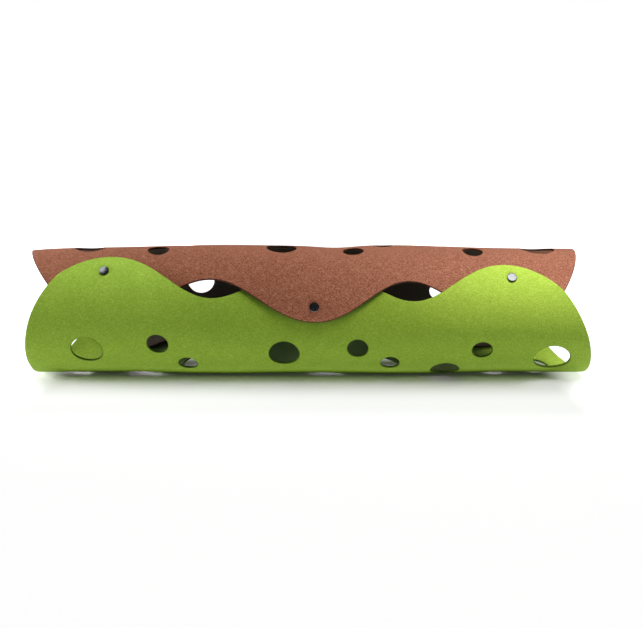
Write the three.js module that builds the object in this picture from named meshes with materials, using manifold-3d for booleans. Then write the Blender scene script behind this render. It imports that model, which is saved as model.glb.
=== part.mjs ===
// Pet tunnel: two equal felt sheets with scalloped edges and punched holes, rolled into one round tube.
// The sheets pass over and under each other along two seams and are held there by press studs.
// Millimetres and degrees. +X runs along the tunnel, +Z is up, -Y is the front.
// The origin is on the floor under the middle of the tunnel.
// A place on a flat sheet is x along the tunnel and s across it, from the midline to the front edge (+s).
import * as THREE from 'three';
import { mergeVertices } from 'three/addons/utils/BufferGeometryUtils.js';
import Module from 'manifold-3d';

const wasm = await Module();
wasm.setup();

// Flat cut of one sheet
const FELT = 5;
const HALF_LENGTH = 605;
const CORNER = { x: 528, s: 235 };      // where a long edge runs over into an end
const END_POWER = 2.25;                 // a higher power makes a squarer end
// Turning points of the long edge, lobe tips and hollows by turns
const SCALLOPS = [
  { x: -420, s: 286 },
  { x: -206, s: 193 },
  { x: 14, s: 279.5 },
  { x: 216, s: 195 },
  { x: 417, s: 288 },
];
const FULLNESS = 1.08;                  // over 1 makes the lobes rounder than the hollows
// Punched holes, the same in both sheets
const HOLES = [
  { x: -470, s: 66, diameter: 66 },
  { x: -318, s: 90, diameter: 44 },
  { x: -259, s: 35, diameter: 40 },
  { x: -52, s: 71, diameter: 64 },
  { x: 103, s: 88, diameter: 43 },
  { x: 173, s: 47, diameter: 40 },
  { x: 294, s: 17, diameter: 62 },
  { x: 365, s: 92, diameter: 42 },
  { x: 516, s: 73, diameter: 76 },
  { x: -521, s: -72, diameter: 58 },
  { x: -368, s: -58, diameter: 68 },
  { x: -250, s: -118, diameter: 65 },
  { x: 38, s: -54, diameter: 70 },
  { x: 178, s: -99, diameter: 65 },
  { x: 322, s: -143, diameter: 43 },
  { x: 416, s: -40, diameter: 42 },
  { x: 512, s: -72, diameter: 76 },
];
const LARGE_HOLE = 50;                  // wider holes are cut with more sides
const HOLE_SIDES = { large: 16, small: 12 };

// Rolled shape
const ROLL_RADIUS = 140.8;              // mean radius of the middle of the felt
const BARREL = 4.6;                     // the ends are drawn in
const BULGE = { size: 1.2, pitch: 410 }; // wider where a seam stands open, narrower at the studs
const AXIS_HEIGHT = 140.5;              // lower than the radius, so the bottom lies flat on the floor
const LAYER = 4.2;                      // a felt's middle to the middle of the seam where two overlap
const WEAVE = { from: 124, to: 274 };   // lengths between which the sheets change places
const SEAM_FADE = { from: 85, to: 150 }; // distance from the midline over which a sheet leaves the seam
const FLARE_TO = 288;                   // an outer lobe stands off towards its tip, in full this far out
// The ends sink a little: how much of the height goes, and how late it goes along the tunnel
const SINK = { left: 0.024, leftPower: 6, right: 0.018, rightPower: 1.5 };
const DENT = { x: 59, width: 55, share: 0.016 }; // the crown sags right of the middle
const MIDDLE = { x: -8.6, y: -0.03 };   // middle of the whole tunnel, which is put over the origin
const COLUMNS = 36;
const ROWS = 17;                        // odd, so that two rows lie on the floor

// The two sheets: angle of the midline up from the bottom by the front, direction of s around the
// tube, which lobes lie outside (+1 the end lobes, -1 the middle one) and how far their tips stand off.
// Each is rolled a little out of true: wound round the tunnel towards each end, and moved along it at the
// midline, at the ends, along the back and at the back left lobe. The holes of one are punched a little
// further to the front, but not towards the right end
const SHEETS = {
  felt_green: {
    middle: 29, turn: 1, outside: 1, flare: { size: 2, from: 248 }, colour: '#8fae3a',
    twist: { left: 9.1, right: -9.1, power: 1.6 }, shift: { midline: 0, ends: 3, back: -17.5, backLeft: 0 },
    punch: { front: 0, right: 0 },
  },
  felt_brown: {
    middle: 203, turn: -1, outside: -1, flare: { size: 6, from: 262 }, colour: '#b07a5e',
    twist: { left: 10.8, right: 3, power: 1.9 }, shift: { midline: -13, ends: -8, back: 0, backLeft: 40 },
    punch: { front: 8, right: -26 },
  },
};
const SEAM = 213;                       // distance from a midline to the middle of a seam

// Press studs
// Places along the tunnel, and across from the midline of the outer sheet
const STUD_PLACES = {
  left: { x: -429, s: 246 },
  middle: { x: 12, s: 249 },
  right: { x: 425, s: 257 },
};
const STUD = {
  cap: 10, capHeight: 3.5, rim: 0.5, post: 3, plate: 6, nub: 2.1, back: 8, backHeight: 1.2,
};
// Dome of a cap, in shares of its radius and of its height down from the top
const DOME = [
  { radius: 0, drop: 0 },
  { radius: 0.5, drop: 0.08 },
  { radius: 0.85, drop: 0.4 },
];
const GAP = 0.3;                        // clearance between pieces
const SEAT = { outward: 1.3, inward: 0.1 }; // how far a stud sinks into the faces of the felt
const STUD_SIDES = 10;
const CUT_REACH = 20;                   // a cutter passes both faces by about this much

const { clamp, degToRad, radToDeg, smoothstep } = THREE.MathUtils;

// Distance from the midline to the long edge at length x
function edge(x) {
  const first = SCALLOPS[0];
  const last = SCALLOPS[SCALLOPS.length - 1];
  if (x < first.x || x > last.x) {
    const tip = x < first.x ? first : last;
    const run = (Math.abs(x) - Math.abs(tip.x)) / (CORNER.x - Math.abs(tip.x));
    return tip.s - (tip.s - CORNER.s) * run * run;
  }
  const next = Math.max(1, SCALLOPS.findIndex((turn) => turn.x >= x));
  const [hollow, tip] = [SCALLOPS[next - 1], SCALLOPS[next]].sort((a, b) => a.s - b.s);
  const run = Math.pow((x - tip.x) / (hollow.x - tip.x), FULLNESS);
  return tip.s - (tip.s - hollow.s) * (1 - Math.cos(Math.PI * run)) / 2;
}

// Length of the sheet from its middle at distance s from the midline
function end(s) {
  return HALF_LENGTH - (HALF_LENGTH - CORNER.x) * Math.pow(Math.abs(s) / CORNER.s, END_POWER);
}

// Point of the flat cut for u along and v across it, both from -1 to 1
function cutPoint(u, v) {
  return { x: u * end(v * CORNER.s), s: v * edge(u * CORNER.x) };
}

function rollRadius(x) {
  const along = x / HALF_LENGTH;
  const bulge = -BULGE.size * Math.cos(2 * Math.PI * x / BULGE.pitch);
  return ROLL_RADIUS - BARREL * along * along + bulge;
}

function twist(sheet, x) {
  const { left, right, power } = sheet.twist;
  return (x < 0 ? left : right) * Math.pow(Math.abs(x) / HALF_LENGTH, power);
}

// How far a felt stands out from the mean radius where it passes over or under the other one
function weave(sheet, x, s) {
  const side = sheet.outside * (2 * smoothstep(Math.abs(x), WEAVE.from, WEAVE.to) - 1);
  const across = Math.abs(s);
  const beyond = Math.max(0, (across - sheet.flare.from) / (FLARE_TO - sheet.flare.from));
  return side * LAYER * smoothstep(across, SEAM_FADE.from, SEAM_FADE.to)
    + Math.max(0, side) * sheet.flare.size * beyond * beyond;
}

// Angle around the tunnel, from the bottom up the front, in radians
function rollAngle(sheet, x, s) {
  return degToRad(sheet.middle + sheet.turn * radToDeg(s / ROLL_RADIUS) + twist(sheet, x));
}

// Place in the rolled tunnel of a point of the flat sheet, at a depth out from the middle of the felt
function rolled(sheet, x, s, depth) {
  const { midline, ends, back, backLeft } = sheet.shift;
  const along = x / HALF_LENGTH;
  const across = s / SEAM;
  const behind = Math.max(0, -across);
  const length = x + midline * (1 - clamp(across, 0, 1)) + ends * along * along
    + (back + backLeft * Math.pow(Math.max(0, -along), 2)) * behind;
  const angle = rollAngle(sheet, length, s);
  const radius = rollRadius(length) + weave(sheet, length, s) + depth;
  const height = AXIS_HEIGHT - radius * Math.cos(angle);
  return [length, -radius * Math.sin(angle), Math.max(height, FELT / 2 - depth)];
}

// A lathed or drilled shape, made along +Y, set on the tunnel wall with +Y pointing straight out of it
function setOnWall(geometry, length, angle, radius) {
  const out = new THREE.Vector3(0, -Math.sin(angle), -Math.cos(angle));
  const turn = new THREE.Quaternion().setFromUnitVectors(new THREE.Vector3(0, 1, 0), out);
  const place = out.clone().multiplyScalar(radius).add(new THREE.Vector3(length, 0, AXIS_HEIGHT));
  return geometry.applyQuaternion(turn).translate(place.x, place.y, place.z);
}

function solid(geometry) {
  geometry.deleteAttribute('normal');
  geometry.deleteAttribute('uv');
  const merged = mergeVertices(geometry);
  return new wasm.Manifold(new wasm.Mesh({
    numProp: 3,
    vertProperties: new Float32Array(merged.attributes.position.array),
    triVerts: new Uint32Array(merged.index.array),
  }));
}

// Height of a point once the tunnel has settled
function settledHeight(x, z) {
  const along = x / HALF_LENGTH;
  const dent = DENT.share * Math.exp(-Math.pow((x - DENT.x) / DENT.width, 2));
  return z * (1 - dent * Math.pow(z / (2 * AXIS_HEIGHT), 3)
    - SINK.left * Math.pow(Math.max(0, -along), SINK.leftPower)
    - SINK.right * Math.pow(Math.max(0, along), SINK.rightPower));
}

function settled(manifold) {
  const mesh = manifold.warp((point) => { point[2] = settledHeight(point[0], point[2]); }).getMesh();
  const geometry = new THREE.BufferGeometry();
  geometry.setAttribute('position', new THREE.BufferAttribute(mesh.vertProperties, mesh.numProp));
  geometry.setIndex(new THREE.BufferAttribute(mesh.triVerts, 1));
  geometry.computeVertexNormals();
  return geometry;
}

function holeCutter(sheet, hole) {
  const sides = hole.diameter > LARGE_HOLE ? HOLE_SIDES.large : HOLE_SIDES.small;
  const radius = hole.diameter / 2;
  const drill = new THREE.CylinderGeometry(radius, radius, 2 * CUT_REACH, sides);
  const { front, right } = sheet.punch;
  const s = hole.s + front + right * Math.pow(Math.max(0, hole.x / HALF_LENGTH), 3);
  const [length] = rolled(sheet, hole.x, s, 0);
  return setOnWall(drill, length, rollAngle(sheet, length, s), rollRadius(length));
}

function feltSheet(sheet, cutters) {
  const slab = new THREE.BoxGeometry(2, 2, FELT, COLUMNS, ROWS, 1);
  const points = slab.attributes.position;
  for (let i = 0; i < points.count; i++) {
    const { x, s } = cutPoint(points.getX(i), sheet.turn * points.getY(i));
    points.setXYZ(i, ...rolled(sheet, x, s, points.getZ(i)));
  }
  let felt = solid(slab);
  for (const cutter of cutters) felt = felt.subtract(solid(cutter));
  return settled(felt);
}

// Heights in a stud are measured out from the middle of the seam
const FACES = {
  outerTop: LAYER + FELT / 2 - SEAT.outward,
  outerUnder: LAYER - FELT / 2 + SEAT.inward,
  innerTop: FELT / 2 - LAYER - SEAT.outward,
  innerUnder: -FELT / 2 - LAYER + SEAT.inward,
};
const SOCKET_UNDER = -GAP;              // lower face of the socket plate
const SOCKET_DEPTH = 1.5;

function lathe(profile) {
  const points = profile.map(([radius, height]) => new THREE.Vector2(radius, height));
  return new THREE.LatheGeometry(points.reverse(), STUD_SIDES);
}

// Domed cap on the outer felt, post through it and socket plate under it
function capHalf() {
  const low = FACES.outerTop + GAP;
  const high = low + STUD.capHeight;
  const plateTop = FACES.outerUnder - GAP;
  return lathe([
    ...DOME.map(({ radius, drop }) => [radius * STUD.cap, high - drop * STUD.capHeight]),
    [STUD.cap, low + STUD.rim],
    [STUD.cap, low],
    [STUD.post, low],
    [STUD.post, plateTop],
    [STUD.plate, plateTop],
    [STUD.plate, SOCKET_UNDER],
    [STUD.nub + GAP, SOCKET_UNDER],
    [STUD.nub + GAP, SOCKET_UNDER + SOCKET_DEPTH],
    [0, SOCKET_UNDER + SOCKET_DEPTH],
  ]);
}

// Stud plate on the inner felt, post through it and flat back inside the tunnel
function studHalf() {
  const plateTop = SOCKET_UNDER - GAP;
  const backTop = FACES.innerUnder - GAP;
  return lathe([
    [0, SOCKET_UNDER + SOCKET_DEPTH - GAP],
    [STUD.nub, SOCKET_UNDER + SOCKET_DEPTH - GAP],
    [STUD.nub, plateTop],
    [STUD.plate, plateTop],
    [STUD.plate, FACES.innerTop + GAP],
    [STUD.post, FACES.innerTop + GAP],
    [STUD.post, backTop],
    [STUD.back, backTop],
    [STUD.back, backTop - STUD.rim],
    [STUD.back - STUD.rim, backTop - STUD.backHeight],
    [0, backTop - STUD.backHeight],
  ]);
}

// Room that a stud takes up in a felt: a wide seat on each face and the post between them
function studRoom(topRadius, top, under, underRadius) {
  return lathe([
    [0, CUT_REACH],
    [topRadius + GAP, CUT_REACH],
    [topRadius + GAP, top],
    [STUD.post + GAP, top],
    [STUD.post + GAP, under],
    [underRadius + GAP, under],
    [underRadius + GAP, -CUT_REACH],
    [0, -CUT_REACH],
  ]);
}

const METAL = { color: '#c9cbcc', roughness: 0.18, metalness: 1 };
const FELT_FINISH = { roughness: 0.95, metalness: 0 };

const tunnel = new THREE.Group();
tunnel.position.set(-MIDDLE.x, -MIDDLE.y, 0);
const cutters = {};
for (const [name, sheet] of Object.entries(SHEETS)) {
  cutters[name] = HOLES.map((hole) => holeCutter(sheet, hole));
}

for (const [seam, way] of Object.entries({ front: 1, back: -1 })) {
  for (const [place, { x, s }] of Object.entries(STUD_PLACES)) {
    const outer = place === 'middle' ? 'felt_brown' : 'felt_green';
    const inner = place === 'middle' ? 'felt_green' : 'felt_brown';
    const angle = rollAngle(SHEETS[outer], x, way * s);
    const fit = (geometry) => setOnWall(geometry, x, angle, rollRadius(x));
    cutters[outer].push(fit(studRoom(STUD.cap, FACES.outerTop, FACES.outerUnder, STUD.plate)));
    cutters[inner].push(fit(studRoom(STUD.plate, FACES.innerTop, FACES.innerUnder, STUD.back)));
    for (const [half, make] of Object.entries({ cap: capHalf, stud: studHalf })) {
      const metal = new THREE.MeshStandardMaterial(METAL);
      const mesh = new THREE.Mesh(settled(solid(fit(make()))), metal);
      mesh.name = `press_${half}_${seam}_${place}`;
      tunnel.add(mesh);
    }
  }
}

for (const [name, sheet] of Object.entries(SHEETS)) {
  const felt = new THREE.MeshStandardMaterial({ color: sheet.colour, ...FELT_FINISH });
  const mesh = new THREE.Mesh(feltSheet(sheet, cutters[name]), felt);
  mesh.name = name;
  tunnel.add(mesh);
}

export default tunnel;
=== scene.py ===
"""Looks of a felt pet tunnel: two equal felt sheets with scalloped edges and punched holes, rolled into
one tube, passed over and under each other along two seams and held there by press studs.

The row frame is in metres: +X along the tunnel, +Z up, -Y the front, the origin on the floor under the
middle. Sizes below are in millimetres unless a name says otherwise, and a place on a flat sheet is x along
the tunnel and s across it, from the midline to the front edge (+s)."""
import math

import bpy
import numpy as np
from mathutils import Matrix, Vector
from mathutils.geometry import delaunay_2d_cdt
from mathutils.kdtree import KDTree


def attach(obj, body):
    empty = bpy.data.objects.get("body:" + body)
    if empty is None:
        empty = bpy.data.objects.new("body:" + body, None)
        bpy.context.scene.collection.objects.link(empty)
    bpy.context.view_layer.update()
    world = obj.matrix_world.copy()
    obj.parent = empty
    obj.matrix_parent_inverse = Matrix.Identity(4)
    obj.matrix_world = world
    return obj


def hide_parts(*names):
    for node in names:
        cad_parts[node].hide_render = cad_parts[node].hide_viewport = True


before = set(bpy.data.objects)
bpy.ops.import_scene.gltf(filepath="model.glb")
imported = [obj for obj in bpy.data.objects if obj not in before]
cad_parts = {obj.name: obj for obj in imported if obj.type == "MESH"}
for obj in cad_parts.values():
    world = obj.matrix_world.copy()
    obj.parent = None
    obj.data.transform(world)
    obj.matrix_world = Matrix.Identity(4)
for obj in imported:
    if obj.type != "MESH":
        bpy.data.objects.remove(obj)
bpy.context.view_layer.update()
MM = 0.001

# Flat cut of one sheet
FELT = 5.0
HALF_LENGTH = 605.0
CORNER_X, CORNER_S = 528.0, 235.0       # where a long edge meets a rounded end
END_POWER = 2.25
# Turning points of the long edge as (x, s), lobe tips and hollows by turns
SCALLOPS = np.array([(-420, 286), (-206, 193), (14, 279.5), (216, 195), (417, 288)])
FULLNESS = 1.08                         # over 1, the lobes are fuller than a plain wave
# Punched holes as (x, s, diameter), the same in both sheets
HOLES = [
    (-470, 66, 66), (-318, 90, 44), (-259, 35, 40), (-52, 71, 64), (103, 88, 43), (173, 47, 40),
    (294, 17, 62), (365, 92, 42), (516, 73, 76), (-521, -72, 58), (-368, -58, 68), (-250, -118, 65),
    (38, -54, 70), (178, -99, 65), (322, -143, 43), (416, -40, 42), (512, -72, 76),
]

# Rolled shape
ROLL_RADIUS = 140.8
BARREL = 4.6                            # how much smaller the radius is at the ends
BULGE, BULGE_PITCH = 1.2, 410.0         # a wave of the radius along the tunnel
AXIS_HEIGHT = 140.5
LAYER = 4.2                             # from the mean radius to the outer or the inner layer at a seam
WEAVE_FROM, WEAVE_TO = 124.0, 274.0     # from the middle, where a felt passes from one layer to the other
FADE_FROM, FADE_TO = 85.0, 150.0        # from the midline, where a felt leaves the mean radius
FLARE_TO = 288.0                        # from the midline, where an outer lobe has its full lift
# Shares of the height that the ends sink by, and the power of x that this grows with
SINK_LEFT, SINK_LEFT_POWER, SINK_RIGHT, SINK_RIGHT_POWER = 0.024, 6, 0.018, 1.5
DENT_X, DENT_WIDTH, DENT_SHARE = 59.0, 55.0, 0.016  # dent in the crown
SEAM = 213.0                            # from the midline to a seam
MIDDLE_X, MIDDLE_Y = -8.6, -0.03        # middle of the rolled sheets, over the origin of the row frame
# middle: angle of the midline in degrees; turn: the way the angle goes with s; outside: 1 where the ends
# of the sheet lie over the other one, -1 where its middle does; flare: lift of an outer lobe's tip and
# where it starts; twist: degrees at the left and right end, and power; midline, ends, back, back_left:
# shifts along the tunnel; punch: shift of the holes to the front, and what the right end adds to it
SHEETS = {
    "felt_green": dict(
        middle=29, turn=1, outside=1, flare=(2, 248), twist=(9.1, -9.1, 1.6), midline=0, ends=3,
        back=-17.5, back_left=0, punch=(0, 0)),
    "felt_brown": dict(
        middle=203, turn=-1, outside=-1, flare=(6, 262), twist=(10.8, 3, 1.9), midline=-13, ends=-8,
        back=0, back_left=40, punch=(8, -26)),
}

# Press studs, with their places as (length in the tunnel, distance across the outer felt)
STUD_PLACES = {"left": (-429.0, 246.0), "middle": (12.0, 249.0), "right": (425.0, 257.0)}
CAP_RADIUS, PLATE_RADIUS, POST_RADIUS, BACK_RADIUS = 10.0, 6.0, 3.0, 8.0
CLEAR = 0.3
SEAT, SEAT_INSIDE = 1.3, 0.1            # how deep a stud presses into the outer and inner faces of a felt
DIMPLE = 7.0                            # the felt comes back to full thickness over this width

# Fineness of the meshes
GRID = 6.0
GRID_HALF_WIDTH = 300.0
EDGE_CLEAR = 3.6                        # grid points stay this far from a cut edge's line
SIDE_POINTS, END_POINTS = 1500, 600     # points of a long edge and an end before they are spaced evenly
RIM_STEP = 3.0
HOLE_STEP, HOLE_LEAST_SIDES = 2.2, 16
SEAT_RINGS = (6.3, 7.6, 9.0, 10.3, 11.6, 13.0, 14.4, 15.9, 17.5)  # radii of points round a stud
SEAT_CLEAR = 20.0                       # grid points this near a stud give way to the rings
# Rows of a rounded cut edge as (inset, share of half the thickness)
RIM_ROWS = [(1.8, 1.0), (1.0, 0.985), (0.42, 0.88), (0.1, 0.62), (0.0, 0.24)]
STUD_SIDES = 64
UNROLL_ROUNDS = 8                       # steps to find a flat place from a rolled one
INSIDE_ONLY, SAME_POINT = 1, 1e-5       # the triangulation keeps to the outline, and joins points this near

# Looks of the felts. pale and dark: fibre colours; cut: colour of a cut edge, darkened as painted shade;
# deep: painted shade colour where no light comes; fleck: how far the fibres stand out; outline_dark: how
# much of the cut colour and its painted shade the outline has; inside_fade: from where to where along the
# sheet its inner face comes out of the painted shade
FELT_LOOKS = {
    "felt_green": dict(
        slot="green_felt", base=(0.253, 0.39, 0.049, 1), pale=(0.395, 0.53, 0.105, 1),
        dark=(0.15, 0.258, 0.031, 1), cut=(0.045, 0.08, 0.016, 1), deep=(0.06, 0.085, 0.045, 1),
        sheen=(0.8, 0.9, 0.3, 1), fleck=0.6, outline_dark=0.3, inside_fade=(345, 510)),
    "felt_brown": dict(
        slot="brown_felt", base=(0.345, 0.132, 0.081, 1), pale=(0.59, 0.272, 0.18, 1),
        dark=(0.178, 0.061, 0.037, 1), cut=(0.03, 0.015, 0.012, 1), deep=(0.075, 0.068, 0.062, 1),
        sheen=(0.9, 0.6, 0.45, 1), fleck=0.85, outline_dark=1.0, inside_fade=(430, 600)),
}
# How much of the cut colour, which is painted shade, a cut edge takes
CUT_SHADE_SHARE = 0.85
# Painted shade on the inner face, strongest towards the middle of the tunnel
INSIDE_SHADE = 0.97
# Painted shadow on the green felt next to the edge of a brown middle lobe
LOBE_SHADE, LOBE_SHADE_REACH = 0.75, 5.0  # on the green felt next to the edge of a brown middle lobe
LOBE_FADE = (110, 190)                  # along the tunnel, where that shade ends
OUTER_DEPTH = 2.0                       # points this far out from the middle of the felt get all of it
# Fibre layers: direction on the flat felt in degrees, noise values between which the fibres come out, how
# strongly they show, and their colour
FIBRES = [(12, 0.54, 0.68, 0.7, "pale"), (71, 0.55, 0.7, 0.7, "dark"), (128, 0.56, 0.7, 0.6, "pale")]
FIBRE_LENGTH, FIBRE_WIDTH = 0.011, 0.0011  # in metres, as the felt's flat_m places are
BEND, BEND_SCALE = 0.006, 130.0         # how far a fibre strays in metres, and how often in a metre
MOTTLE_SCALE, CLOUD_SCALE, CLOUD_SHARE = 320.0, 22.0, 0.14
NOISE_MIDDLE = (0.3, 0.7)               # noise values between which a pattern goes from none to all
PILE, PILE_DEPTH = 0.45, 0.0006         # strength of the felt's bump, and its depth in metres


def smoothstep(value, low, high):
    t = np.clip((value - low) / (high - low), 0, 1)
    return t * t * (3 - 2 * t)


def edge(x):
    """Distance from the midline to the long edge at length x."""
    after = np.clip(np.searchsorted(SCALLOPS[:, 0], x), 1, len(SCALLOPS) - 1)
    (ax, a), (bx, b) = SCALLOPS[after - 1].T, SCALLOPS[after].T
    from_tip = np.where(a > b, (x - ax) / (bx - ax), (x - bx) / (ax - bx))
    wave = (1 - np.cos(np.pi * np.clip(from_tip, 0, 1) ** FULLNESS)) / 2
    between = np.maximum(a, b) - np.abs(a - b) * wave
    tip_x, tip = np.where(np.expand_dims(x < 0, -1), SCALLOPS[0], SCALLOPS[-1]).T
    run = (np.abs(x) - np.abs(tip_x)) / (CORNER_X - np.abs(tip_x))
    beyond = tip - (tip - CORNER_S) * run ** 2
    return np.where((x < SCALLOPS[0, 0]) | (x > SCALLOPS[-1, 0]), beyond, between)


def end(s):
    """Length of the sheet from its middle at distance s from the midline."""
    return HALF_LENGTH - (HALF_LENGTH - CORNER_X) * (np.abs(s) / CORNER_S) ** END_POWER


def roll_radius(x):
    return ROLL_RADIUS - BARREL * (x / HALF_LENGTH) ** 2 - BULGE * np.cos(2 * np.pi * x / BULGE_PITCH)


def twist(sheet, x):
    left, right, power = sheet["twist"]
    return np.where(x < 0, left, right) * (np.abs(x) / HALF_LENGTH) ** power


def weave(sheet, x, s):
    """How far a felt stands out from the mean radius where it passes over or under the other one."""
    side = sheet["outside"] * (2 * smoothstep(np.abs(x), WEAVE_FROM, WEAVE_TO) - 1)
    flare, start = sheet["flare"]
    beyond = np.maximum(0, (np.abs(s) - start) / (FLARE_TO - start))
    lift = side * LAYER * smoothstep(np.abs(s), FADE_FROM, FADE_TO)
    return lift + np.maximum(0, side) * flare * beyond ** 2


def roll_angle(sheet, x, s):
    """Angle around the tunnel, from the bottom up the front, in radians."""
    return np.radians(sheet["middle"] + twist(sheet, x)) + sheet["turn"] * s / ROLL_RADIUS


def place_along(sheet, x, s):
    """Length in the tunnel of a point of the flat sheet."""
    along, across = x / HALF_LENGTH, s / SEAM
    drift = sheet["midline"] * (1 - np.clip(across, 0, 1)) + sheet["ends"] * along ** 2
    back = sheet["back"] + sheet["back_left"] * np.maximum(0, -along) ** 2
    return x + drift + back * np.maximum(0, -across)


def settled(x, z):
    """Height of a point once the tunnel has settled."""
    left = SINK_LEFT * np.maximum(0, -x / HALF_LENGTH) ** SINK_LEFT_POWER
    right = SINK_RIGHT * np.maximum(0, x / HALF_LENGTH) ** SINK_RIGHT_POWER
    dent = DENT_SHARE * np.exp(-((x - DENT_X) / DENT_WIDTH) ** 2)
    return z * (1 - dent * (z / (2 * AXIS_HEIGHT)) ** 3 - left - right)


def rolled(sheet, x, s, depth):
    """Place in the row frame, in metres, of a flat point at a depth out from the middle of the felt."""
    length = place_along(sheet, x, s)
    angle = roll_angle(sheet, length, s)
    radius = roll_radius(length) + weave(sheet, length, s) + depth
    height = np.maximum(AXIS_HEIGHT - radius * np.cos(angle), FELT / 2 - depth)
    y = -radius * np.sin(angle) - MIDDLE_Y
    return np.stack([length - MIDDLE_X, y, settled(length, height)], axis=-1) * MM


def flat_place(sheet, length, angle):
    """The flat point of a sheet that lies at a length and an angle of the tunnel."""
    turned = np.degrees(angle) - sheet["middle"] - twist(sheet, length)
    turned = (turned + 180) % 360 - 180
    s = sheet["turn"] * np.radians(turned) * ROLL_RADIUS
    x = length
    for _ in range(UNROLL_ROUNDS):
        x = x + length - place_along(sheet, x, s)
    return x, s


def stud_list():
    """Each press stud's name, its outer felt, and its length and angle in the tunnel."""
    found = []
    for seam, way in (("front", 1), ("back", -1)):
        for place, (length, across) in STUD_PLACES.items():
            outer = "felt_brown" if place == "middle" else "felt_green"
            angle = float(roll_angle(SHEETS[outer], length, way * across))
            found.append(dict(name=f"{seam}_{place}", outer=outer, length=length, angle=angle))
    return found


STUDS = stud_list()


def seats(name):
    """Stud seats of a sheet, as (x, s, radius)."""
    places = []
    for stud in STUDS:
        x, s = flat_place(SHEETS[name], stud["length"], stud["angle"])
        places.append((x, s, CAP_RADIUS if stud["outer"] == name else PLATE_RADIUS))
    return places


# Felt sheets
def evenly(points, step):
    """A closed line again, with points about step apart."""
    closed = np.vstack([points, points[:1]])
    along = np.concatenate([[0], np.cumsum(np.linalg.norm(np.diff(closed, axis=0), axis=1))])
    at = np.linspace(0, along[-1], int(along[-1] / step), endpoint=False)
    return np.stack([np.interp(at, along, closed[:, k]) for k in range(2)], axis=1)


def outline():
    """The cut's outline, counter-clockwise."""
    x = np.linspace(-CORNER_X, CORNER_X, SIDE_POINTS)
    s = np.linspace(-CORNER_S, CORNER_S, END_POINTS)
    sides = [(x, -edge(x)), (end(s), s), (x[::-1], edge(x[::-1])), (-end(s), s[::-1])]
    line = np.vstack([np.stack(side, axis=1)[:-1] for side in sides])
    return evenly(line, RIM_STEP)


def inward(line):
    """Unit vectors to the left of a closed line, which is where the felt lies."""
    run = np.roll(line, -1, axis=0) - np.roll(line, 1, axis=0)
    run /= np.linalg.norm(run, axis=1, keepdims=True)
    return np.stack([-run[:, 1], run[:, 0]], axis=1)


def circle(x, s, radius):
    """A hole's line, clockwise, so that the felt lies to its left."""
    count = max(HOLE_LEAST_SIDES, int(2 * np.pi * radius / HOLE_STEP))
    t = -2 * np.pi * np.arange(count) / count
    return np.stack([x + radius * np.cos(t), s + radius * np.sin(t)], axis=1)


def grid_points(lines, holes, studs):
    """Points of a triangle grid inside the felt, clear of its cut edges, and rings round the studs."""
    rows = np.arange(-GRID_HALF_WIDTH, GRID_HALF_WIDTH + 1, GRID * math.sqrt(3) / 2)
    columns = np.arange(-HALF_LENGTH, HALF_LENGTH, GRID)
    x, s = np.meshgrid(columns, rows)
    x = x + (np.arange(len(rows)) % 2)[:, None] * GRID / 2
    x, s = x.ravel(), s.ravel()
    inside = np.where(np.abs(x) <= CORNER_X, np.abs(s) < edge(x), np.abs(x) < end(s))
    for hole_x, hole_s, radius in holes + [(stud_x, stud_s, SEAT_CLEAR) for stud_x, stud_s, _ in studs]:
        inside &= np.hypot(x - hole_x, s - hole_s) > radius
    points = np.stack([x, s], axis=1)[inside]
    border = np.vstack(lines)
    tree = KDTree(len(border))
    for i, (px, ps) in enumerate(border):
        tree.insert((px, ps, 0), i)
    tree.balance()
    clear = [tree.find((px, ps, 0))[2] > EDGE_CLEAR for px, ps in points]
    rings = [circle(stud_x, stud_s, radius) for stud_x, stud_s, _ in studs for radius in SEAT_RINGS]
    return np.vstack([points[np.array(clear)]] + rings)


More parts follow.
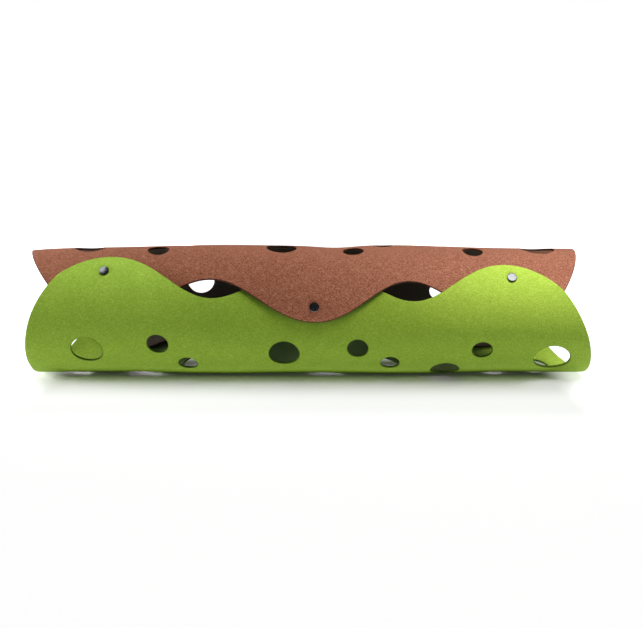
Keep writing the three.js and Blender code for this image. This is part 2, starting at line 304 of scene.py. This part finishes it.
def felt_mesh(name):
    """A sheet as a closed mesh: an outer and an inner face of triangles, and rounded cut edges."""
    sheet = SHEETS[name]
    front, right = sheet["punch"]
    holes = [(x, s + front + right * max(0, x / HALF_LENGTH) ** 3, d / 2) for x, s, d in HOLES]
    studs = seats(name)
    holes += [(x, s, POST_RADIUS + CLEAR) for x, s, _ in studs]
    cuts = [outline()] + [circle(*hole) for hole in holes]
    insides = [inward(cut) for cut in cuts]
    rim_inset = RIM_ROWS[0][0]
    lines = [cut + rim_inset * inside for cut, inside in zip(cuts, insides)]
    flat = np.vstack(lines + [grid_points(lines, holes, studs)])
    starts = np.cumsum([0] + [len(line) for line in lines])
    edges = []
    for start, line in zip(starts, lines):
        count = len(line)
        edges += [(int(start + i), int(start + (i + 1) % count)) for i in range(count)]
    _, _, faces, came_from, _, _ = delaunay_2d_cdt(
        [Vector(p) for p in flat], edges, [], INSIDE_ONLY, SAME_POINT)
    source = np.array([ids[0] for ids in came_from])
    triangles = source[np.array(faces)]
    # A triangle with all its corners on one hole's line lies in that hole
    line_of = np.searchsorted(starts, np.arange(len(flat)), side="right") - 1
    corners = line_of[triangles]
    on_one_line = corners.min(axis=1) == corners.max(axis=1)
    on_hole_line = (corners[:, 0] > 0) & (corners[:, 0] < len(lines))
    triangles = triangles[~(on_one_line & on_hole_line)]
    # Points: outer face, inner face, then the rim rows between them
    rows = RIM_ROWS[1:] + [(inset, -share) for inset, share in reversed(RIM_ROWS[1:])]
    count = len(flat)
    blocks = [np.column_stack([flat, np.full(count, side * FELT / 2)]) for side in (1, -1)]
    # Share of the cut colour, painted shade, at each point: none on the faces, all on a hole's edge, the
    # outline_dark share on the outline
    rim_of = [np.zeros(2 * count)]
    rim_faces = []
    base = 2 * count
    for start, cut, inside in zip(starts, cuts, insides):
        size = len(cut)
        ring = np.arange(size)
        bands = [start + ring]
        for inset, share in rows:
            line = cut + inset * inside
            blocks.append(np.column_stack([line, np.full(size, share * FELT / 2)]))
            rim_of.append(np.full(size, 1.0 if start else FELT_LOOKS[name]["outline_dark"]))
            bands.append(base + ring)
            base += size
        bands.append(count + start + ring)
        for upper, lower in zip(bands, bands[1:]):
            ahead = np.roll(upper, -1), np.roll(lower, -1)
            rim_faces.append(np.stack([upper, lower, ahead[1], ahead[0]], axis=1))
    points = np.vstack(blocks)
    quads = np.vstack(rim_faces)
    outer, inner = triangles, triangles[:, ::-1] + count
    if sheet["turn"] < 0:
        outer, inner, quads = outer[:, ::-1], inner[:, ::-1], quads[:, ::-1]
    return points, [*outer.tolist(), *inner.tolist(), *quads.tolist()], np.concatenate(rim_of)


def pressed(name, points):
    """Depths of a felt's points where the studs press into its outer face."""
    x, s, depth = points.T
    for seat_x, seat_s, radius in seats(name):
        away = np.hypot(x - seat_x, s - seat_s)
        share = 1 - smoothstep(away, radius + CLEAR, radius + CLEAR + DIMPLE)
        depth = depth - SEAT * share * np.clip(depth / (FELT / 2), 0, 1)
    return depth


def shade(name, points):
    """How much painted shade, for light lost, a point gets: deep inside the tunnel, or close under a brown
    lobe.
    """
    x, s, depth = points.T
    inner_face = np.clip(-depth / (FELT / 2), 0, 1)
    inside = INSIDE_SHADE * inner_face * (1 - smoothstep(np.abs(x), *FELT_LOOKS[name]["inside_fade"]))
    if name == "felt_brown":
        return inside
    length = place_along(SHEETS[name], x, s)
    angle = roll_angle(SHEETS[name], length, s)
    over_x, over_s = flat_place(SHEETS["felt_brown"], length, angle)
    beyond = np.maximum(0, np.abs(over_s) - edge(over_x))
    near = np.exp(-beyond / LOBE_SHADE_REACH) * (1 - smoothstep(np.abs(length), *LOBE_FADE))
    under = LOBE_SHADE * near * np.clip(depth / OUTER_DEPTH, 0, 1)
    return np.maximum(inside, under)


def felt_sheet(name, material):
    points, faces, rim = felt_mesh(name)
    depth = pressed(name, points)
    mesh = bpy.data.meshes.new(name + "_cloth")
    mesh.from_pydata(rolled(SHEETS[name], points[:, 0], points[:, 1], depth).tolist(), [], faces)
    mesh.polygons.foreach_set("use_smooth", np.ones(len(faces), bool))
    flat = mesh.attributes.new("flat_m", "FLOAT_VECTOR", "POINT")
    flat.data.foreach_set("vector", (points * MM).astype(np.float32).ravel())
    # Painted shade on the cut edges
    cut = mesh.attributes.new("cut_edge_shade", "FLOAT", "POINT")
    cut.data.foreach_set("value", rim.astype(np.float32))
    # Painted shade, which the material turns into a share of the deep colour
    lost = mesh.attributes.new("shade", "FLOAT", "POINT")
    lost.data.foreach_set("value", shade(name, points).astype(np.float32))
    mesh.materials.append(material)
    mesh.update()
    piece = bpy.data.objects.new(name + "_cloth", mesh)
    bpy.context.scene.collection.objects.link(piece)
    return piece


# Materials
class Nodes:
    """Adds shader nodes to a tree, with values or links for their inputs."""

    def __init__(self, tree):
        self.tree = tree

    def fill(self, node, inputs):
        for key, value in inputs.items():
            socket = node.inputs[key]
            if isinstance(value, bpy.types.NodeSocket):
                self.tree.links.new(value, socket)
            else:
                socket.default_value = value

    def add(self, kind, inputs=None, **settings):
        node = self.tree.nodes.new("ShaderNode" + kind)
        for key, value in settings.items():
            setattr(node, key, value)
        self.fill(node, inputs or {})
        return node

    def math(self, operation, *values):
        return self.add("Math", dict(enumerate(values)), operation=operation).outputs[0]

    def vector_math(self, operation, *values):
        return self.add("VectorMath", dict(enumerate(values)), operation=operation).outputs[0]

    def noise(self, place, scale, detail):
        return self.add("TexNoise", {"Vector": place, "Scale": scale, "Detail": detail}).outputs

    def attribute(self, name):
        return self.add("Attribute", attribute_name=name).outputs

    def spread(self, value, low, high, to_low=0.0, to_high=1.0):
        """Value from low to high, eased and mapped onto another range."""
        inputs = {"Value": value, "From Min": low, "From Max": high, "To Min": to_low, "To Max": to_high}
        return self.add("MapRange", inputs, interpolation_type="SMOOTHSTEP").outputs["Result"]

    def mix(self, share, a, b, blend="MIX"):
        node = self.add("Mix", data_type="RGBA", blend_type=blend)
        self.fill(node, {0: share, 6: a, 7: b})
        return node.outputs[2]


def new_material(name):
    material = bpy.data.materials.new(name)
    material.use_nodes = True
    nodes = Nodes(material.node_tree)
    return material, nodes, material.node_tree.nodes["Principled BSDF"]


def felt_material(look):
    """Needle felt: pale and dark fibres in three directions on a mottled ground, darker as painted shade
    at its cut edges, deep inside the tunnel and under a brown lobe.
    """
    material, nodes, shader = new_material(look["slot"])
    fleck = look["fleck"]
    flat = nodes.attribute("flat_m")["Vector"]
    cut_shade_share = nodes.attribute("cut_edge_shade")["Fac"]
    shaded = nodes.attribute("shade")["Fac"]
    bend = nodes.noise(flat, BEND_SCALE, 1.0)["Color"]
    bent = nodes.vector_math("SUBTRACT", bend, (0.5, 0.5, 0.5))
    bent = nodes.add("VectorMath", {0: bent, "Scale": BEND}, operation="SCALE").outputs[0]
    bent = nodes.vector_math("ADD", flat, bent)
    mottle = nodes.noise(flat, MOTTLE_SCALE, 3.0)["Fac"]
    cloud = nodes.noise(flat, CLOUD_SCALE, 2.0)["Fac"]
    colour = nodes.mix(nodes.spread(mottle, *NOISE_MIDDLE, 1 - fleck), look["dark"], look["base"])
    pile = mottle
    for turn, low, high, share, tint in FIBRES:
        stretched = nodes.add("Mapping", {
            "Vector": bent,
            "Rotation": (0, 0, math.radians(turn)),
            "Scale": (FIBRE_LENGTH, FIBRE_WIDTH, FIBRE_WIDTH),
        }, vector_type="TEXTURE").outputs[0]
        fibre = nodes.noise(stretched, 1.0, 1.0)["Fac"]
        colour = nodes.mix(nodes.spread(fibre, low, high, 0, share * fleck), colour, look[tint])
        pile = nodes.math("ADD", pile, fibre)
    colour = nodes.mix(nodes.spread(cloud, *NOISE_MIDDLE, 0, CLOUD_SHARE), colour, look["dark"])
    # Painted shade: cut edges take the dark cut colour
    colour = nodes.mix(nodes.math("MULTIPLY", cut_shade_share, CUT_SHADE_SHARE), colour, look["cut"])
    # Painted shade deep inside the tunnel and under a brown lobe: the deep colour is mixed in
    colour = nodes.mix(shaded, colour, look["deep"])
    bump = nodes.add("Bump", {"Height": pile, "Strength": PILE, "Distance": PILE_DEPTH}).outputs[0]
    nodes.fill(shader, {
        "Base Color": colour,
        "Normal": bump,
        "Roughness": 0.95,
        "Specular IOR Level": 0.12,
        "Sheen Weight": 0.1,
        "Sheen Roughness": 0.5,
        "Sheen Tint": look["sheen"],
    })
    return material


METAL, METAL_RIM = (0.78, 0.79, 0.82, 1), (0.07, 0.07, 0.075, 1)
POLISH, HAZE_SCALE = (0.1, 0.2), 420.0  # least and most roughness, and how fine its pattern is
MARKS, MARKS_DEPTH, MARKS_SCALE = 0.04, 0.0002, 1600.0


def stud_material():
    """Polished plated metal with fine handling marks and a dark rim."""
    material, nodes, shader = new_material("stud_metal")
    rim = nodes.attribute("rim")["Fac"]
    place = nodes.add("TexCoord").outputs["Object"]
    haze = nodes.noise(place, HAZE_SCALE, 3.0)["Fac"]
    marks = nodes.noise(place, MARKS_SCALE, 1.0)["Fac"]
    bump = nodes.add("Bump", {"Height": marks, "Strength": MARKS, "Distance": MARKS_DEPTH}).outputs[0]
    nodes.fill(shader, {
        "Base Color": nodes.mix(rim, METAL, METAL_RIM),
        "Metallic": 1.0,
        "Roughness": nodes.spread(haze, *NOISE_MIDDLE, *POLISH),
        "Normal": bump,
    })
    return material


# Press stud pieces, lathed along +Z
CAP_LOW = LAYER + FELT / 2 - SEAT + CLEAR
CAP_HEIGHT = 3.5
CAP_RIM, CAP_CROWN = 0.8, 0.3           # radius of the rolled rim, and drop from the middle to the rim
CAP_RIM_DROP = 0.25
CROWN_RADII = (0, 1.5, 3, 4.5, 6, 7.5, 8.9)
BEVEL, NUB_BEVEL = 0.2, 0.5
SOCKET_BORDER = 0.3                     # ring of points beside the socket's upper edge, to keep it sharp
DARK_RIM = (0.93, 0.97)                 # shares of the cap's radius between which the rim turns dark
SOCKET_UNDER = -CLEAR
SOCKET_DEPTH = 1.5
NUB_RADIUS = 2.1
BACK_TOP = -FELT / 2 - LAYER + SEAT_INSIDE - CLEAR
BACK_HEIGHT = 1.2
# Edge of the back as (in from its radius, down from its top), and the hollow in it as (radius, height)
BACK_EDGE = [(0.3, 0), (0, 0.3), (0.1, 0.6), (0.6, 1.0), (1.6, BACK_HEIGHT)]
BACK_HOLLOW = [(3.4, 0), (3.0, 0.35), (1.6, 0.6), (0, 0.65)]


def arc(centre, radius, start, stop, steps):
    angles = np.radians(np.linspace(start, stop, steps))
    return [(centre[0] + radius * math.cos(a), centre[1] + radius * math.sin(a)) for a in angles]


def cap_profile():
    """Outer cap with a low crown and a rolled rim, then its post and socket."""
    top = CAP_LOW + CAP_HEIGHT
    crown = [(r, top - CAP_CROWN * (r / CAP_RADIUS) ** 2) for r in CROWN_RADII]
    rim_centre = (CAP_RADIUS - CAP_RIM, top - CAP_RIM_DROP - CAP_RIM)
    corner = arc(rim_centre, CAP_RIM, start=80, stop=-10, steps=9)
    under = [(CAP_RADIUS - BEVEL, CAP_LOW), (POST_RADIUS, CAP_LOW)]
    socket_top = LAYER - FELT / 2 + SEAT_INSIDE - CLEAR
    roof = SOCKET_UNDER + SOCKET_DEPTH
    socket = [
        (POST_RADIUS, socket_top), (PLATE_RADIUS - SOCKET_BORDER, socket_top), (PLATE_RADIUS, socket_top),
        (PLATE_RADIUS, SOCKET_UNDER + BEVEL), (PLATE_RADIUS - BEVEL, SOCKET_UNDER),
        (NUB_RADIUS + CLEAR, SOCKET_UNDER), (NUB_RADIUS + CLEAR, roof), (0, roof),
    ]
    return crown + corner + under + socket


def stud_profile():
    """Stud plate with its nub, the post through the inner felt and the rounded back inside the tunnel."""
    plate_top = SOCKET_UNDER - CLEAR
    plate_under = FELT / 2 - LAYER - SEAT + CLEAR
    nub_top = SOCKET_UNDER + SOCKET_DEPTH - CLEAR
    nub = [(0, nub_top), (NUB_RADIUS - NUB_BEVEL, nub_top), (NUB_RADIUS, nub_top - NUB_BEVEL)]
    plate = [
        (NUB_RADIUS, plate_top), (PLATE_RADIUS - BEVEL, plate_top), (PLATE_RADIUS, plate_top - BEVEL),
        (PLATE_RADIUS, plate_under + BEVEL), (PLATE_RADIUS - BEVEL, plate_under),
    ]
    post = [(POST_RADIUS, plate_under), (POST_RADIUS, BACK_TOP)]
    back = [(BACK_RADIUS - inset, BACK_TOP - drop) for inset, drop in BACK_EDGE]
    hollow = [(radius, BACK_TOP - BACK_HEIGHT + height) for radius, height in BACK_HOLLOW]
    return nub + plate + post + back + hollow


def lathe(name, profile, material):
    """A closed mesh of a profile turned round +Z, with its first and last points on the axis."""
    turns = 2 * np.pi * np.arange(STUD_SIDES) / STUD_SIDES
    points = [(0, 0, profile[0][1])]
    for radius, height in profile[1:-1]:
        points += [(radius * math.cos(t), radius * math.sin(t), height) for t in turns]
    points.append((0, 0, profile[-1][1]))
    rings = len(profile) - 2
    faces = []
    for i in range(STUD_SIDES):
        ahead = (i + 1) % STUD_SIDES
        faces.append((0, 1 + i, 1 + ahead))
        for ring in range(rings - 1):
            low, high = 1 + ring * STUD_SIDES, 1 + (ring + 1) * STUD_SIDES
            faces.append((low + i, high + i, high + ahead, low + ahead))
        last = 1 + (rings - 1) * STUD_SIDES
        faces.append((last + i, len(points) - 1, last + ahead))
    mesh = bpy.data.meshes.new(name)
    mesh.from_pydata((np.array(points) * MM).tolist(), [], faces)
    mesh.polygons.foreach_set("use_smooth", np.ones(len(faces), bool))
    away = np.hypot(*np.array(points).T[:2])
    rim = mesh.attributes.new("rim", "FLOAT", "POINT")
    rim.data.foreach_set("value", smoothstep(away / CAP_RADIUS, *DARK_RIM).astype(np.float32))
    mesh.materials.append(material)
    piece = bpy.data.objects.new(name, mesh)
    bpy.context.scene.collection.objects.link(piece)
    return piece


def set_on_wall(piece, length, angle):
    """Turns a lathed piece so that +Z points straight out of the tunnel wall, and puts it there."""
    out = Vector((0, -math.sin(angle), -math.cos(angle)))
    radius = float(roll_radius(length))
    place = out * radius + Vector((length - MIDDLE_X, -MIDDLE_Y, AXIS_HEIGHT))
    turned = out.to_track_quat("Z", "Y").to_matrix().to_4x4()
    piece.data.transform(Matrix.Translation(place * MM) @ turned)
    for point in piece.data.vertices:
        point.co.z = MM * float(settled(point.co.x / MM + MIDDLE_X, point.co.z / MM))


def build_object():
    for name, look in FELT_LOOKS.items():
        cloth = felt_sheet(name, felt_material(look))
        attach(cloth, "root")
        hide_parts(name)
    metal = stud_material()
    for stud in STUDS:
        for half, profile in (("cap", cap_profile()), ("stud", stud_profile())):
            node = f"press_{half}_{stud['name']}"
            piece = lathe(node + "_metal", profile, metal)
            set_on_wall(piece, stud["length"], stud["angle"])
            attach(piece, "root")
            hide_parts(node)


# Camera, floor and light
IMAGE_WIDTH, IMAGE_HEIGHT = 643, 628
SENSOR_WIDTH = 36.0
FOCAL_PIXELS = 829.0
CAMERA_PLACE = (0.0356, -1.831, 0.461)
CAMERA_PITCH = 10.26


def build_camera():
    data = bpy.data.cameras.new("camera")
    data.sensor_width = SENSOR_WIDTH
    data.lens = SENSOR_WIDTH * FOCAL_PIXELS / max(IMAGE_WIDTH, IMAGE_HEIGHT)
    camera = bpy.data.objects.new("camera", data)
    camera.location = CAMERA_PLACE
    camera.rotation_euler = (math.radians(90 - CAMERA_PITCH), 0, 0)
    bpy.context.scene.collection.objects.link(camera)
    bpy.context.scene.camera = camera


FLOOR_HALF_WIDTH, FLOOR_FRONT = 30.0, -1.1
FLOOR_WHITE = (0.72, 0.72, 0.72, 1)

# The floor glows a little as painted light: less where the tunnel's shadow falls, which paints the
# shadow's soft edge, and more past the ends and behind. Each step of the glow is where it starts and
# ends, in metres, and what it adds
SHADE_LENGTH = 0.53
GLOW_LEAST = 0.03
GLOW_AWAY = [(0.045, 0.13, 0.11), (0.2, 0.33, -0.14), (0.18, 0.42, 0.28)]
GLOW_PAST_ENDS = (0.52, 0.6, 0.55)
GLOW_BEHIND = (0.2, 0.6, 0.3)


def build_floor():
    material, nodes, shader = new_material("floor_white")
    place = nodes.add("NewGeometry").outputs["Position"]
    either_side = nodes.vector_math("ABSOLUTE", place)
    from_ends = nodes.vector_math("SUBTRACT", either_side, (SHADE_LENGTH, 0, 0))
    outside = nodes.vector_math("MAXIMUM", from_ends, (0, 0, 0))
    away = nodes.add("VectorMath", {0: outside}, operation="LENGTH").outputs["Value"]
    along = nodes.add("SeparateXYZ", {0: either_side}).outputs["X"]
    behind = nodes.add("SeparateXYZ", {0: place}).outputs["Y"]
    steps = [(away, *step) for step in GLOW_AWAY] + [(along, *GLOW_PAST_ENDS), (behind, *GLOW_BEHIND)]
    glow = GLOW_LEAST
    for distance, start, stop, gain in steps:
        glow = nodes.math("ADD", glow, nodes.spread(distance, start, stop, 0, gain))
    nodes.fill(shader, {
        "Base Color": FLOOR_WHITE,
        "Roughness": 0.7,
        "Specular IOR Level": 0.2,
        "Emission Color": (1, 1, 1, 1),
        "Emission Strength": glow,
    })
    wide = FLOOR_HALF_WIDTH
    corners = [(-wide, FLOOR_FRONT, 0), (wide, FLOOR_FRONT, 0), (wide, wide, 0), (-wide, wide, 0)]
    mesh = bpy.data.meshes.new("floor")
    mesh.from_pydata(corners, [], [(0, 1, 2, 3)])
    mesh.materials.append(material)
    floor = bpy.data.objects.new("floor", mesh)
    bpy.context.scene.collection.objects.link(floor)


BACKDROP, ROOM = (1, 1, 1, 1), (0.02, 0.02, 0.021, 1)  # what shows behind, and what lights the object
SKY_SPREAD, SKY_POWER, SKY_FROM = 60.0, 3.1, (0.25, 0.05, 1)
# Boxes of soft light in metres and watts. spread: width of the beam in degrees; only: the one felt that
# a box lights; in_studs: whether the studs mirror it
SOFTBOXES = {
    "right_box": dict(
        place=(0.56, -0.38, 1.24), aim=(0.51, -0.1, 0.2), size=(0.4, 0.4), power=2.35, spread=50,
        only="felt_green", colour=(1, 0.88, 0.8)),
    "left_box": dict(
        place=(-0.34, -0.32, 1.28), aim=(-0.32, -0.1, 0.2), size=(0.4, 0.4), power=0.6, spread=50,
        only="felt_green"),
    "front_box": dict(
        place=(0.72, -0.95, 0.62), aim=(0.62, -0.08, 0.24), size=(0.5, 0.5), power=2.1, spread=80,
        only="felt_brown"),
    "left_side": dict(
        place=(-1.4, -0.05, 0.3), aim=(-0.5, 0.03, 0.1), size=(0.5, 0.4), power=1.5, spread=50),
    "right_side": dict(
        place=(1.4, -0.05, 0.3), aim=(0.5, 0.03, 0.1), size=(0.5, 0.4), power=0.4, spread=50),
    "floor_panel": dict(
        place=(0.0, -0.19, 0.003), aim=(0.0, -0.19, 1.0), size=(1.06, 0.06), power=0.2),
    "contact_panel": dict(
        place=(0.0, -0.09, 0.002), aim=(0.0, -0.09, 1.0), size=(1.06, 0.03), power=0.085),
    "right_card": dict(
        place=(0.65, -0.56, 1.2), aim=(0.43, -0.1, 0.24), size=(0.4, 0.4), power=0.5, in_studs=True),
    "left_card": dict(
        place=(-0.95, 0.0, 1.25), aim=(-0.43, -0.1, 0.24), size=(0.6, 0.6), power=0.7,
        colour=(0.88, 0.93, 1), in_studs=True),
}


def softbox(name, place, aim, size, power, colour=(1, 1, 1), spread=180, only=None, in_studs=False):
    data = bpy.data.lights.new(name, "AREA")
    data.shape = "RECTANGLE"
    data.size, data.size_y = size
    data.energy = power
    data.color = colour
    data.spread = math.radians(spread)
    lamp = bpy.data.objects.new(name, data)
    lamp.location = place
    lamp.rotation_euler = (Vector(aim) - Vector(place)).to_track_quat("-Z", "Y").to_euler()
    lamp.visible_glossy = in_studs
    lamp.visible_camera = False
    bpy.context.scene.collection.objects.link(lamp)
    if only:
        lit = bpy.data.collections.new("lit_by_" + name)
        lit.objects.link(bpy.data.objects[only + "_cloth"])
        lamp.light_linking.receiver_collection = lit


def build_light():
    world = bpy.data.worlds.new("studio")
    world.use_nodes = True
    nodes = Nodes(world.node_tree)
    seen = nodes.add("LightPath").outputs["Is Camera Ray"]
    background = world.node_tree.nodes["Background"]
    nodes.fill(background, {"Color": nodes.mix(seen, ROOM, BACKDROP), "Strength": 1.0})
    bpy.context.scene.world = world
    sky = bpy.data.lights.new("sky_panel", "SUN")
    sky.angle = math.radians(SKY_SPREAD)
    sky.energy = SKY_POWER
    panel = bpy.data.objects.new("sky_panel", sky)
    panel.rotation_euler = Vector(SKY_FROM).to_track_quat("Z", "Y").to_euler()
    panel.visible_glossy = False
    bpy.context.scene.collection.objects.link(panel)
    for name, box in SOFTBOXES.items():
        softbox(name, **box)


# Light in the scene and light as shown
TONES = [(0.01, 0.005), (0.025, 0.017), (0.05, 0.042), (0.1, 0.097), (0.2, 0.2), (0.6, 0.6)]


def set_tones():
    """Plain display colours with a little more depth in the shadows."""
    view = bpy.context.scene.view_settings
    view.view_transform = "Standard"
    view.use_curve_mapping = True
    tones = view.curve_mapping.curves[3]
    for light, shown in TONES:
        tones.points.new(light, shown)
    view.curve_mapping.update()


set_tones()
build_camera()
build_object()
build_floor()
build_light()
